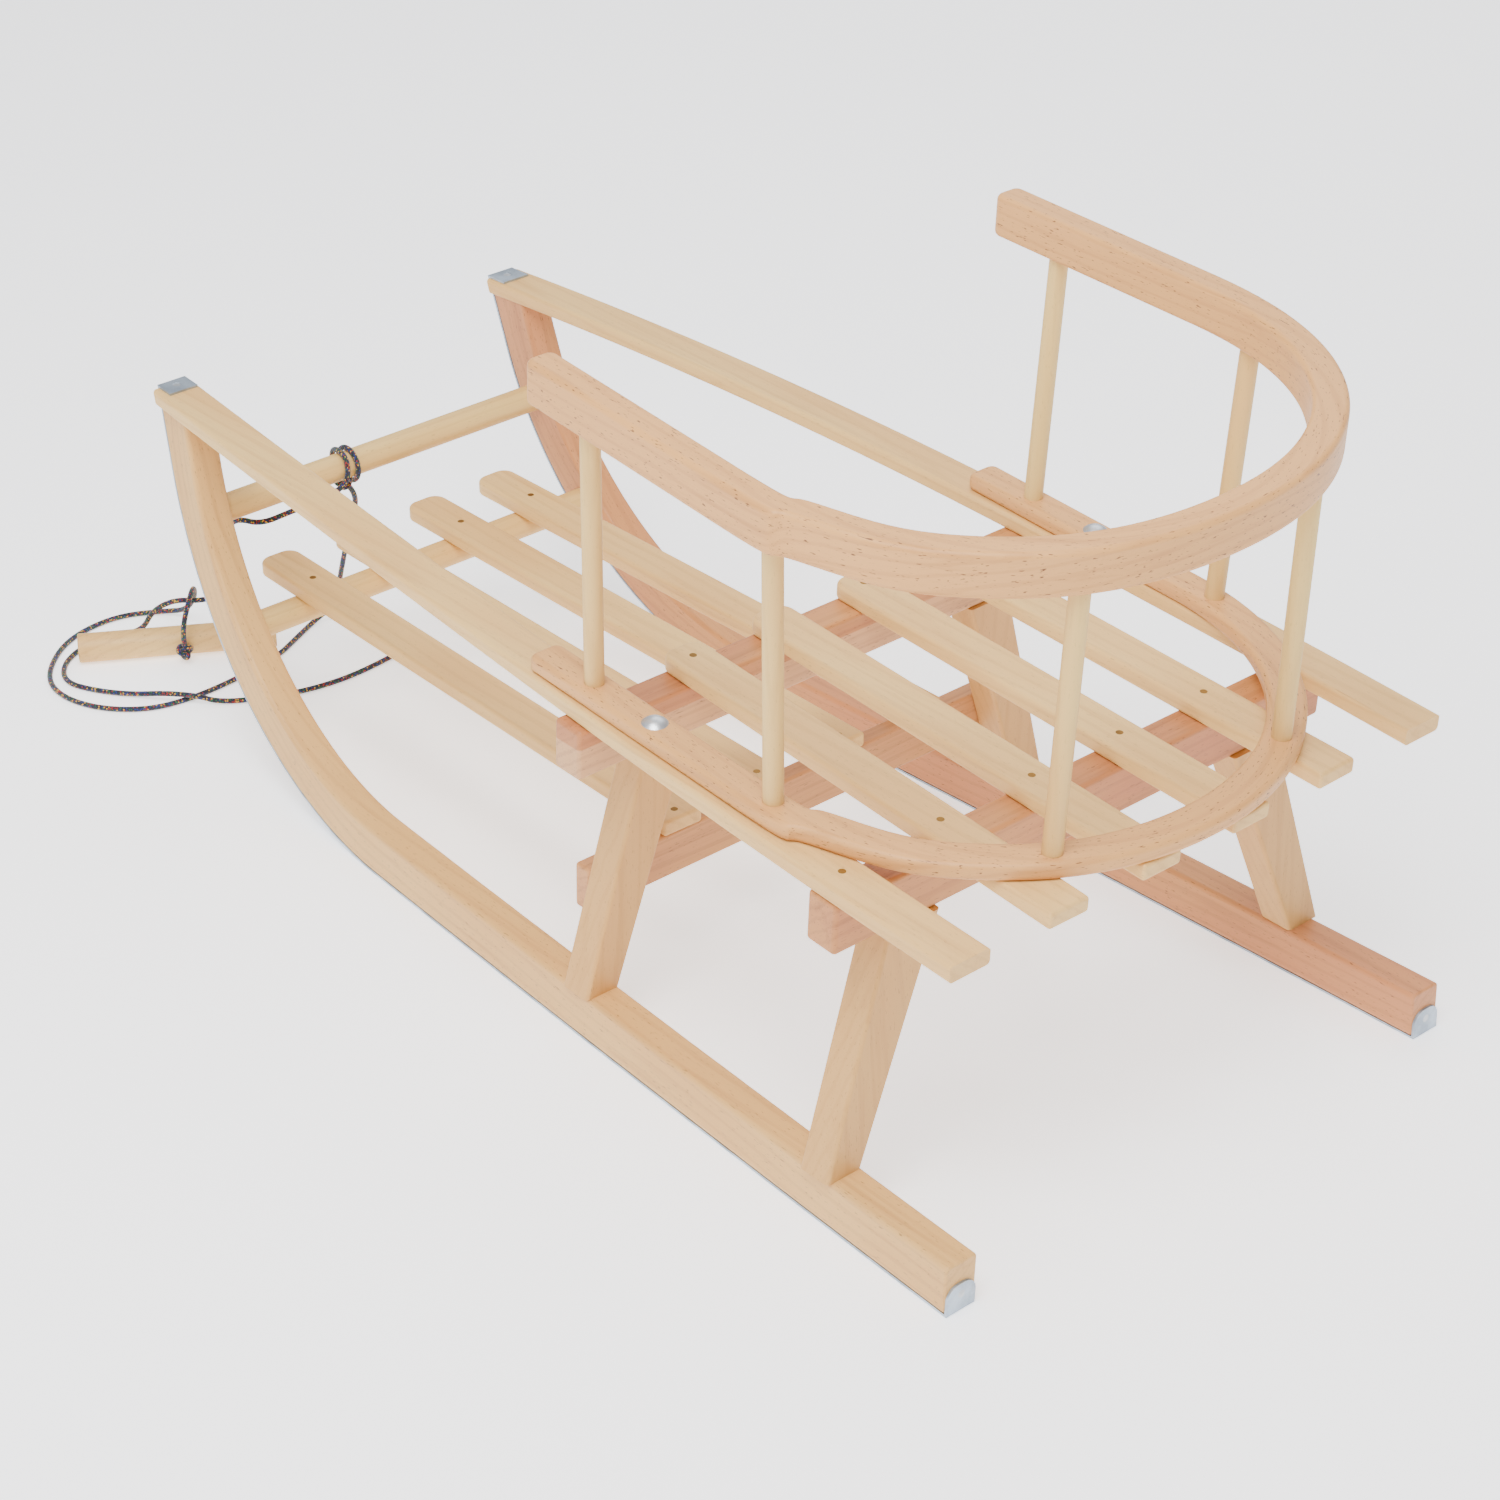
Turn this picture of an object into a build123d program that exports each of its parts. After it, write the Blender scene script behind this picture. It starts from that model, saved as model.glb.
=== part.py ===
"""Wooden toboggan with a bolted bentwood backrest, a tow rope and a pull stick.

Millimetres. X is across, +Y is the direction of travel, +Z is up and the floor is z = 0. While it is built the
sled is measured from the rear ends of its seat slats (station 0); every piece is moved back by half of the sled's
length when it is written, so the origin ends up under the middle of the sled's bounding box.
"""

from build123d import *
import math
import os

os.makedirs("parts", exist_ok=True)

# ---- seat: one plane that rises to the front -------------------------------------------------------------------
seat_height = 226.3
seat_rise = math.degrees(math.atan(0.052))
board_width = 30.7
board_thickness = 11.2
board_edge = 2.6
rail_rear_outer = 204.3
rail_middle_outer = 195.6
rail_front_outer = 160.0
rail_plan_length = 852.0
rail_straight_length = 350.0
rail_front_drop = 14.3
slat_length = 343.5
slat_rear_x = [-112.1, -37.4, 37.4, 112.1]
slat_front_x = [-106.0, -35.4, 35.4, 106.0]
slat_tip_corner = 10.0
slat_rear_corner = 2.0

# ---- crossbars and legs ------------------------------------------------------------------------------------------
crossbar_depth = 24.0
crossbar_height = 34.3
crossbar_edge = 3.0
front_crossbar_station = 328.1
front_crossbar_half = 205.5
rear_crossbar_station = 102.1
rear_crossbar_half = 204.4
leg_depth = 24.4
leg_edge = 2.4
# each leg: station of its middle, outer x and inner x, first where it stands on the runner, then under the seat
front_leg_foot = (334.0, 202.0, 176.0)
front_leg_head = (328.4, 154.7, 119.4)
rear_leg_foot = (97.2, 214.0, 187.0)
rear_leg_head = (102.1, 159.7, 118.6)
leg_measured_height = 166.0

# ---- runners and their steel soles -------------------------------------------------------------------------------
sole_thickness = 1.6
sole_margin = 0.9
sole_tab_height = 19.0
sole_tab_corner = 9.0
sole_plate_length = 23.0
runner_width = 24.4
runner_height = 33.4
runner_rear = -15.0
runner_rear_outer = 216.0
runner_middle_outer = 196.4
runner_front_outer = 168.3
runner_plan_front = 862.0
runner_lean = 0.05
runner_edge = 3.0
curve_start = 570.0
curve_radius = 270.0
curve_angle = 75.0

# ---- foot rest and round bars ------------------------------------------------------------------------------------
bar_radius = 10.0
foot_bar_station = 757.0
foot_bar_height = 100.5
tow_bar_station = 802.5
tow_bar_height = 172.5
bar_socket = 13.0
foot_crossbar_depth = 14.4
foot_crossbar_height = 32.5
foot_crossbar_half = 180.0
foot_crossbar_edge = 2.5
foot_slat_rear = 341.5
foot_slat_front = 806.0
foot_slat_rear_x = [-105.0, -35.5, 35.5, 105.0]
foot_slat_front_x = [-97.0, -33.0, 33.0, 97.0]

# ---- backrest ----------------------------------------------------------------------------------------------------
lower_hoop_half = 185.3
lower_hoop_reach = 184.2
lower_hoop_middle = 191.5
lower_hoop_power = 2.05
lower_hoop_toe = -0.006
lower_hoop_width = 24.0
lower_hoop_thickness = 11.4
upper_hoop_half = 194.1
upper_hoop_reach = 198.4
upper_hoop_middle = 212.0
upper_hoop_power = 2.15
upper_hoop_toe = -0.036
upper_hoop_width = 21.0
upper_hoop_thickness = 28.5
upper_hoop_top = 210.6
hoop_steps = 12
hoop_front = 378.0
hoop_front_corner = 6.0
hoop_edge = 3.6
spindle_radius = 6.2
spindle_foot_stations = [328.0, 167.0]
spindle_head_stations = [328.0, 168.5]
rear_spindle_foot_x = 95.8
rear_spindle_head_x = 93.0
lower_socket = 7.0
upper_socket = 13.0

# ---- fasteners ---------------------------------------------------------------------------------------------------
bolt_station = 271.5
bolt_x = 184.8
bolt_radius = 3.0
bolt_head_radius = 8.2
bolt_head_height = 3.6
bolt_tip = 3.0
washer_radius = 9.0
washer_thickness = 1.6
nut_flats = 10.0
nut_height = 5.0
screw_head_radius = 2.4
screw_head_height = 1.2
screw_radius = 1.7
screw_length = 24.0
bar_screw_length = 20.0
tin_screw_head_radius = 2.6
tin_screw_head_height = 1.0
tin_screw_length = 9.0
tin_screw_radius = 1.2
leg_screw_radius = 2.2
leg_screw_length = 46.0
leg_screw_head_radius = 4.4

# ---- rope and pull stick -----------------------------------------------------------------------------------------
rope_radius = 2.0
stick_radius = 11.0
stick_length = 147.0
stick_middle = (-118.0, 917.0)
stick_turn = -31.5
stick_hole_radius = 2.6
stick_hole_shift = 5.0
stick_end_edge = 1.2
hitch_x = -33.0

# ---- fits --------------------------------------------------------------------------------------------------------
socket_gap = 0.12
bolt_gap = 0.25
screw_gap = 0.06
rope_gap = 0.25

# foremost point of the sled, at the folded plates on its tips; tip_corner is where their faces would meet
sled_front = 846.3
tip_corner = 851.0
half_sled = (sled_front + runner_rear - sole_thickness) / 2

written = []


def write(name, solids):
    """One node: a solid, or several separate solids that share the node."""
    shapes = solids if isinstance(solids, list) else [solids]
    moved = [Pos(0, -half_sled, 0) * s for s in shapes]
    shape = moved[0] if len(moved) == 1 else Compound(children=moved)
    export_step(shape, f"parts/{name}.step")
    written.append((name, sum(s.volume for s in moved)))


def seat(x, station, height):
    """A place on the seat plane: station along the slope, height square to it."""
    return Pos(0, 0, seat_height) * Rot(seat_rise, 0, 0) * Pos(x, station, height)


def mirrored(shape):
    """The same piece on the other side of the sled."""
    return mirror(shape, about=Plane.YZ)


def rod(start, end, radius):
    """Round rod between two points."""
    a, b = Vector(*start), Vector(*end)
    frame = Plane(origin=a, z_dir=b - a)
    return extrude(frame * Circle(radius), amount=(b - a).length)


def long_edges(shape, axis_dir, least):
    """Edges longer than a given length that run mostly along a direction."""
    way = Vector(*axis_dir).normalized()
    found = []
    for edge in shape.edges():
        if edge.length < least:
            continue
        chord = (edge @ 1) - (edge @ 0)
        if chord.length > 0.5 * edge.length and abs(chord.normalized().dot(way)) > 0.9:
            found.append(edge)
    return found


def screw(length, radius, head_radius, head_height):
    """Countersunk screw: head flush at z = 0, shank down to z = -length."""
    head = Pos(0, 0, -head_height / 2) * Cone(radius, head_radius, head_height)
    shank = Pos(0, 0, -(head_height + length) / 2) * Cylinder(radius, length - head_height)
    return head + shank


def screw_hole(length, radius, head_radius, head_height, gap):
    """Room for a countersunk screw."""
    head = Pos(0, 0, (0.5 - head_height) / 2) * Cone(
        radius + gap, head_radius + gap + 0.5 * (head_radius - radius) / head_height, head_height + 0.5)
    shank = Pos(0, 0, -(length + 0.3) / 2) * Cylinder(radius + gap, length + 0.3)
    return head + shank


def wood_screw():
    return screw(screw_length, screw_radius, screw_head_radius, screw_head_height)


def wood_screw_hole():
    return screw_hole(screw_length, screw_radius, screw_head_radius, screw_head_height, screw_gap)


# ---- crossbars under the seat ------------------------------------------------------------------------------------
def crossbar(half, station):
    """Straight bar under the seat boards, its long edges rounded."""
    bar = Box(2 * half, crossbar_depth, crossbar_height)
    bar = fillet(bar.edges(), crossbar_edge)
    return seat(0, station, -board_thickness - crossbar_height / 2) * bar


front_crossbar = crossbar(front_crossbar_half, front_crossbar_station)
rear_crossbar = crossbar(rear_crossbar_half, rear_crossbar_station)


# ---- seat slats --------------------------------------------------------------------------------------------------
def board(length, corner):
    """Board lying from y = 0 to y = length, top face at z = 0, its front corners well rounded."""
    slab = Pos(0, length / 2, -board_thickness / 2) * Box(board_width, length, board_thickness)
    upright = slab.edges().filter_by(Axis.Z)
    slab = fillet(upright.sort_by(Axis.Y)[2:], corner)
    slab = fillet(slab.edges().filter_by(Axis.Z).sort_by(Axis.Y)[:2], slat_rear_corner)
    rims = slab.faces().sort_by(Axis.Z)[-1].edges() + slab.faces().sort_by(Axis.Z)[0].edges()
    return fillet(rims, board_edge)


def laid_board(rear, front, length, corner):
    """Board turned so that its middle runs from the rear to the front x."""
    turn = math.degrees(math.atan2(rear - front, length))
    return Pos(rear, 0, 0) * Rot(0, 0, turn) * board(length, corner)


slats = []
slat_screw_spots = []
for rear, front in zip(slat_rear_x, slat_front_x):
    slats.append(seat(0, 0, 0) * laid_board(rear, front, slat_length, slat_tip_corner))
    for station in (rear_crossbar_station + 4.0, front_crossbar_station + 1.0):
        x = rear + (front - rear) * station / slat_length
        slat_screw_spots.append(seat(x, station, 0))


# ---- side rails --------------------------------------------------------------------------------------------------
def plan_strip(points, width):
    """Flat shape of one curved side: an arc through three outer points, and the same arc moved inward."""
    (x0, y0), (x1, y1), (x2, y2) = points
    outer = ThreePointArc((x0, y0), (x1, y1), (x2, y2))
    inner = ThreePointArc((x0 - width, y0), (x1 - width, y1), (x2 - width, y2))
    ends = [Line((x0, y0), (x0 - width, y0)), Line((x2, y2), (x2 - width, y2))]
    return make_face(Curve() + [outer, inner] + ends)


def rail_shape():
    """Right-hand rail in the seat frame, before its tip is cut."""
    middle = rail_plan_length / 2
    strip = plan_strip(
        [(rail_rear_outer, 0), (rail_middle_outer, middle), (rail_front_outer, rail_plan_length)], board_width)
    prism = Pos(0, 0, -60) * extrude(strip, amount=80)
    bent = rail_plan_length - rail_straight_length
    radius = bent ** 2 / (2 * rail_front_drop)
    half_way = bent / 2
    end_drop = radius - math.sqrt(radius ** 2 - bent ** 2)
    half_drop = radius - math.sqrt(radius ** 2 - half_way ** 2)
    start = rail_straight_length
    top = [
        Line((0, 0), (start, 0)),
        ThreePointArc((start, 0), (start + half_way, -half_drop), (rail_plan_length, -end_drop)),
    ]
    low = [
        Line((0, -board_thickness), (start, -board_thickness)),
        ThreePointArc(
            (start, -board_thickness),
            (start + half_way, -half_drop - board_thickness),
            (rail_plan_length, -end_drop - board_thickness),
        ),
    ]
    ends = [
        Line((0, 0), (0, -board_thickness)),
        Line((rail_plan_length, -end_drop), (rail_plan_length, -end_drop - board_thickness)),
    ]
    side = make_face(Curve() + top + low + ends)
    plank = extrude(Plane.YZ * side, amount=rail_rear_outer + 60, both=True)
    rail = prism & plank
    rail = rail.solid() if isinstance(rail, Compound) else rail
    rail = fillet(long_edges(rail, (0, 1, 0), 200), board_edge)
    return rail


tip_angle = math.radians(curve_angle)
tip_station = curve_start + curve_radius * math.sin(tip_angle)
tip_height = curve_radius * (1 - math.cos(tip_angle))


def outer_line(height, offset=0.0):
    """Station of the runner's straight front line at a height; offset moves it inward, square to the line."""
    return tip_station - offset / math.sin(tip_angle) + (height - tip_height) / math.tan(tip_angle)


def front_cutter(offset):
    """Everything ahead of the runner's front line, moved inward by an offset."""
    low, high = 180.0, 320.0
    face = Plane.YZ * Polygon(
        (outer_line(low, offset), low),
        (outer_line(high, offset), high),
        (outer_line(high, offset) + 200, high),
        (outer_line(low, offset) + 200, low),
        align=None,
    )
    return extrude(face, amount=400, both=True)


right_rail = seat(0, 0, 0) * rail_shape()
right_rail = right_rail - front_cutter(sole_thickness)


# ---- runners -----------------------------------------------------------------------------------------------------
def runner_side(outer_offset, inner_offset, top):
    """Side outline between two offsets from the sliding line; the front ends at a slanted top line."""
    a = tip_angle

    def arc(offset):
        r = curve_radius - offset
        start = (curve_start, offset)
        mid = (curve_start + r * math.sin(a / 2), curve_radius - r * math.cos(a / 2))
        end = (curve_start + r * math.sin(a), curve_radius - r * math.cos(a))
        return start, mid, end

    s0, m0, e0 = arc(outer_offset)
    s1, m1, e1 = arc(inner_offset)
    t0 = (outer_line(top, outer_offset), top)
    t1 = (outer_line(top, inner_offset), top)
    r0 = (runner_rear, outer_offset)
    r1 = (runner_rear, inner_offset)
    lines = [
        Line(r0, s0), ThreePointArc(s0, m0, e0), Line(e0, t0), Line(t0, t1),
        Line(t1, e1), ThreePointArc(e1, m1, s1), Line(s1, r1), Line(r1, r0),
    ]
    return Plane.YZ * make_face(Curve() + lines)


def runner_plan(margin, rear, front):
    """Leaning wall that holds the runner's width: a curved strip in plan, drawn up along the lean."""
    span = runner_plan_front - runner_rear

    def outer(station):
        t = (station - runner_rear) / span
        chord = runner_rear_outer + (runner_front_outer - runner_rear_outer) * t
        bulge = runner_middle_outer - (runner_rear_outer + runner_front_outer) / 2
        return chord + 4 * bulge * t * (1 - t) - margin

    points = [(outer(s), s) for s in (rear, (rear + front) / 2, front)]
    strip = plan_strip(points, runner_width - 2 * margin)
    down = -5.0
    strip = Pos(-runner_lean * down, 0, down) * strip
    height = 300.0
    return extrude(strip, amount=height, dir=(-runner_lean, 0, 1))


def under_rail():
    """Everything above the underside of the rails."""
    big = Pos(0, 600, 60 - board_thickness) * Box(600, 700, 120)
    return seat(0, 0, 0) * big


wide = runner_plan(0.0, runner_rear - 60, runner_plan_front)
narrow = runner_plan(sole_margin, runner_rear - 60, runner_plan_front)

side_wood = extrude(runner_side(sole_thickness, runner_height, 262.0), amount=260, both=True)
right_runner = (side_wood & wide).solid()
right_runner = fillet(long_edges(right_runner, (0, 1, 0), 200), runner_edge)
rear_rim = right_runner.faces().sort_by(Axis.Y)[0].edges()
right_runner = fillet(rear_rim, 1.6)

# the rail's curved underside decides where the runner stops
rail_fill = right_rail
for lift in (10.0, 20.0):
    rail_fill = rail_fill + Pos(0, 0, lift - 0.5) * right_rail
keep_below = Pos(170, 800, 262) * Box(160, 200, 24)
right_runner = right_runner - rail_fill - keep_below
right_runner = right_runner.solids().sort_by(SortBy.VOLUME)[-1]


def bar_at(station, height, half):
    return rod((-half, station, height), (half, station, height), bar_radius)


def runner_outer_x(station, height):
    """Outer face of the right runner at a place."""
    span = runner_plan_front - runner_rear
    t = (station - runner_rear) / span
    chord = runner_rear_outer + (runner_front_outer - runner_rear_outer) * t
    bulge = runner_middle_outer - (runner_rear_outer + runner_front_outer) / 2
    return chord + 4 * bulge * t * (1 - t) - runner_lean * height


bars = {}
for name, station, height in (
    ("foot_bar", foot_bar_station, foot_bar_height),
    ("tow_bar", tow_bar_station, tow_bar_height),
):
    half = runner_outer_x(station, height) - runner_width + bar_socket
    bars[name] = bar_at(station, height, half)
    hole = rod((half - 60, station, height), (half + socket_gap, station, height), bar_radius + socket_gap)
    right_runner = right_runner - hole


# ---- soles -------------------------------------------------------------------------------------------------------
plate_end = tip_corner - sole_plate_length
ring = extrude(runner_side(0.0, sole_thickness, 290.0), amount=260, both=True)
sole = ring & narrow
sole = sole.solids().sort_by(SortBy.VOLUME)[-1]
tab = Pos(0, runner_rear - sole_thickness / 2, sole_tab_height / 2) * Box(800, sole_thickness, sole_tab_height)
tab = (tab & narrow).solid()
tab_corners = [e for e in tab.edges() if e.length < 2 * sole_thickness and e.center().Z > sole_tab_height / 2]
tab = fillet(tab_corners, sole_tab_corner)
whole_rail = seat(0, 0, 0) * rail_shape()
rail_cover = (Pos(0, 0, sole_thickness) * whole_rail) - whole_rail - front_cutter(0.0)
rail_cover = rail_cover & (Pos(0, plate_end + 60, 0) * Box(800, 120, 800)) & narrow
rail_cover = rail_cover.solids().sort_by(Axis.Z)[-1]
cap_height = rail_cover.bounding_box().max.Z
sole = sole - (Pos(0, 850, cap_height + 50) * Box(800, 400, 100))
sole = sole + tab + rail_cover
sole = sole.solids().sort_by(SortBy.VOLUME)[-1]

sole_screw_spots = [
    Pos(runner_outer_x(runner_rear, 10.5) - runner_width / 2, runner_rear - sole_thickness, 11.5) * Rot(90, 0, 0),
]
plate_x = runner_outer_x(tip_corner - 12, 256) - runner_width / 2
plate_top = rail_cover.bounding_box().max.Z
sole_screw_spots.append(
    Pos(plate_x, tip_corner - 13.0, plate_top - 0.35) * Rot(seat_rise - 2.2, 0, 0))


# ---- legs --------------------------------------------------------------------------------------------------------
def leg(foot, head, crossbar_shape):
    """Tapered leg between the top of the runner and the underside of a crossbar."""
    past = 1.15
    sections = []
    for share in (0.0, past):
        station = foot[0] + (head[0] - foot[0]) * share
        outer = foot[1] + (head[1] - foot[1]) * share
        inner = foot[2] + (head[2] - foot[2]) * share
        spot = Pos((outer + inner) / 2, station, runner_height + leg_measured_height * share)
        sections.append(spot * Rectangle(outer - inner, leg_depth))
    body = loft(sections)
    body = fillet(long_edges(body, (-0.28, 0, 1), 100), leg_edge)
    above = seat(0, foot[0], -board_thickness - crossbar_height + 100) * Box(900, 200, 200)
    return (body - above).solid()


right_front_leg = leg(front_leg_foot, front_leg_head, front_crossbar)
right_rear_leg = leg(rear_leg_foot, rear_leg_head, rear_crossbar)


# ---- foot rest ---------------------------------------------------------------------------------------------------
def front_face_of_leg(height):
    """Station of the front leg's front face at a height."""
    share = (height - runner_height) / leg_measured_height
    return front_leg_foot[0] + (front_leg_head[0] - front_leg_foot[0]) * share + leg_depth / 2


foot_top = foot_bar_height + bar_radius + board_thickness
foot_crossbar_top = foot_top - board_thickness
foot_crossbar_low = foot_crossbar_top - foot_crossbar_height
face_low = front_face_of_leg(foot_crossbar_low)
face_high = front_face_of_leg(foot_crossbar_top)
outline = Plane.YZ * Polygon(
    (face_low, foot_crossbar_low),
    (face_high, foot_crossbar_top),
    (face_high + foot_crossbar_depth, foot_crossbar_top),
    (face_low + foot_crossbar_depth, foot_crossbar_low),
    align=None,
)
foot_crossbar = extrude(outline, amount=foot_crossbar_half, both=True)
foot_crossbar = fillet(foot_crossbar.edges(), foot_crossbar_edge)

foot_slats = []
foot_screw_spots = []
foot_length = foot_slat_front - foot_slat_rear
foot_screw_stations = (face_high + foot_crossbar_depth / 2, foot_bar_station)
for rear, front in zip(foot_slat_rear_x, foot_slat_front_x):
    foot_slats.append(Pos(0, foot_slat_rear, foot_top) * laid_board(rear, front, foot_length, slat_tip_corner))
    for station in foot_screw_stations:
        x = rear + (front - rear) * (station - foot_slat_rear) / foot_length
        foot_screw_spots.append((Pos(x, station, foot_top), station == foot_bar_station))


# ---- backrest ----------------------------------------------------------------------------------------------------
def hoop_point(half, reach, middle, power, toe, angle):
    """Point of a hoop's rounded back; angle 0 is the right arm, 90 degrees the rear, 180 degrees the left arm."""
    c, s = math.cos(angle), math.sin(angle)
    station = middle - reach * abs(s) ** (2 / power)
    side = half + toe * (station - middle)
    return math.copysign(side * abs(c) ** (2 / power), c), station


def hoop_side(half, middle, toe, station):
    """Half-width of a hoop's straight arm at a station."""
    return half + toe * (station - middle)


def hoop(half, reach, middle, power, toe, width, thickness):
    """Flat bentwood hoop, open to the front, lying on z = 0."""
    def edge_points(offset):
        points = []
        for step in range(0, hoop_steps + 1):
            angle = math.pi * step / hoop_steps
            points.append(hoop_point(half + offset, reach + offset, middle, power, toe, angle))
        return points

    outer = edge_points(width / 2)
    inner = edge_points(-width / 2)
    outer_front = hoop_side(half + width / 2, middle, toe, hoop_front)
    inner_front = hoop_side(half - width / 2, middle, toe, hoop_front)
    lines = [
        Spline(*outer, tangents=[(-toe, -1), (-toe, 1)]),
        Spline(*inner, tangents=[(-toe, -1), (-toe, 1)]),
        Line(outer[0], (outer_front, hoop_front)),
        Line(inner[0], (inner_front, hoop_front)),
        Line((outer_front, hoop_front), (inner_front, hoop_front)),
        Line(outer[-1], (-outer_front, hoop_front)),
        Line(inner[-1], (-inner_front, hoop_front)),
        Line((-outer_front, hoop_front), (-inner_front, hoop_front)),
    ]
    flat = make_face(Curve() + lines)
    body = extrude(flat, amount=thickness)
    ends = [e for e in body.edges().filter_by(Axis.Z) if e.center().Y > hoop_front - 1]
    body = fillet(ends, hoop_front_corner)
    rims = body.faces().sort_by(Axis.Z)[-1].edges() + body.faces().sort_by(Axis.Z)[0].edges()
    return fillet(rims, hoop_edge)


lower_sizes = (lower_hoop_half, lower_hoop_reach, lower_hoop_middle, lower_hoop_power, lower_hoop_toe)
upper_sizes = (upper_hoop_half, upper_hoop_reach, upper_hoop_middle, upper_hoop_power, upper_hoop_toe)
lower_hoop = hoop(*lower_sizes, lower_hoop_width, lower_hoop_thickness)
upper_hoop = Pos(0, 0, upper_hoop_top - upper_hoop_thickness) * hoop(
    *upper_sizes, upper_hoop_width, upper_hoop_thickness)


def rear_station(sizes, x):
    """Station of a hoop's centre line behind its middle at a given x."""
    half, reach, middle, power, toe = sizes
    low, high = math.pi / 4, math.pi / 2
    for _ in range(60):
        angle = (low + high) / 2
        if hoop_point(half, reach, middle, power, toe, angle)[0] > x:
            low = angle
        else:
            high = angle
    return hoop_point(half, reach, middle, power, toe, angle)[1]


def arm_x(sizes, station):
    """x of a hoop's centre line at a station, on its right arm or the turn into it."""
    half, reach, middle, power, toe = sizes
    if station >= middle:
        return hoop_side(half, middle, toe, station)
    share = (middle - station) / reach
    return hoop_side(half, middle, toe, station) * (1 - share ** power) ** (1 / power)


spindle_ends = []
for foot_station, head_station in zip(spindle_foot_stations, spindle_head_stations):
    spindle_ends.append((
        (arm_x(lower_sizes, foot_station), foot_station),
        (arm_x(upper_sizes, head_station), head_station),
    ))
spindle_ends.append((
    (rear_spindle_foot_x, rear_station(lower_sizes, rear_spindle_foot_x)),
    (rear_spindle_head_x, rear_station(upper_sizes, rear_spindle_head_x)),
))

foot_level = lower_hoop_thickness - lower_socket
head_level = upper_hoop_top - upper_hoop_thickness + upper_socket
spindles = []
for foot, head in spindle_ends:
    for side in (-1, 1):
        low = Vector(side * foot[0], foot[1], foot_level)
        high = Vector(side * head[0], head[1], head_level)
        way = (high - low).normalized()
        spindles.append(rod(low, high, spindle_radius))
        below = low - way * socket_gap
        above = high + way * socket_gap
        hole = rod(below, above, spindle_radius + socket_gap)
        lower_hoop = lower_hoop - hole
        upper_hoop = upper_hoop - hole

# ---- backrest bolts ----------------------------------------------------------------------------------------------
bolts = []
washers = []
nuts = []
bolt_low = -board_thickness - washer_thickness - nut_height - bolt_tip
for side in (-1, 1):
    x = side * bolt_x
    shank_length = lower_hoop_thickness - bolt_low
    shank = Pos(0, 0, bolt_low + shank_length / 2) * Cylinder(bolt_radius, shank_length)
    dome_radius = (bolt_head_radius ** 2 + bolt_head_height ** 2) / (2 * bolt_head_height)
    dome = Pos(0, 0, lower_hoop_thickness + bolt_head_height - dome_radius) * Sphere(dome_radius)
    dome = dome & (Pos(0, 0, lower_hoop_thickness + bolt_head_height) * Box(40, 40, 2 * bolt_head_height))
    bolts.append(seat(x, bolt_station, 0) * (shank + dome))
    hole = Pos(0, 0, 0) * Cylinder(bolt_radius + bolt_gap, 60)
    lower_hoop = lower_hoop - Pos(x, bolt_station, 0) * hole
    if side > 0:
        right_rail = right_rail - seat(x, bolt_station, 0) * hole
    disc = Cylinder(washer_radius, washer_thickness) - Cylinder(bolt_radius + bolt_gap, 2 * washer_thickness)
    washers.append(seat(x, bolt_station, -board_thickness - washer_thickness / 2) * disc)
    hexagon = RegularPolygon(nut_flats / 2, 6, major_radius=False) - Circle(bolt_radius + 0.02)
    nut_top = -board_thickness - washer_thickness
    nuts.append(seat(x, bolt_station, nut_top - nut_height) * extrude(hexagon, amount=nut_height))

# ---- screws ------------------------------------------------------------------------------------------------------
slat_screws = [spot * wood_screw() for spot in slat_screw_spots]
slat_holes = [spot * wood_screw_hole() for spot in slat_screw_spots]
rail_spot = seat(189.0, rear_crossbar_station + 1.0, 0)
rail_screws = [rail_spot * wood_screw(), mirrored(rail_spot * wood_screw())]
right_rail = right_rail - rail_spot * wood_screw_hole()
slats = [s - slat_holes[2 * i] - slat_holes[2 * i + 1] for i, s in enumerate(slats)]
for i in range(4):
    rear_crossbar = rear_crossbar - slat_holes[2 * i]
    front_crossbar = front_crossbar - slat_holes[2 * i + 1]
rear_crossbar = rear_crossbar - rail_spot * wood_screw_hole() - mirrored(rail_spot * wood_screw_hole())

foot_screws = []
for i, (spot, on_bar) in enumerate(foot_screw_spots):
    length = bar_screw_length if on_bar else screw_length
    foot_screws.append(spot * screw(length, screw_radius, screw_head_radius, screw_head_height))
    hole = spot * screw_hole(length, screw_radius, screw_head_radius, screw_head_height, screw_gap)
    foot_slats[i // 2] = foot_slats[i // 2] - hole
    if on_bar:
        bars["foot_bar"] = bars["foot_bar"] - hole
    else:
        foot_crossbar = foot_crossbar - hole

sole_screws = []
for spot in sole_screw_spots:
    tin = screw(tin_screw_length, tin_screw_radius, tin_screw_head_radius, tin_screw_head_height)
    hole = screw_hole(
        tin_screw_length, tin_screw_radius, tin_screw_head_radius, tin_screw_head_height, screw_gap)
    sole_screws += [spot * tin, mirrored(spot * tin)]
    sole = sole - spot * hole
    right_runner = right_runner - spot * hole
    right_rail = right_rail - spot * hole

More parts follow.
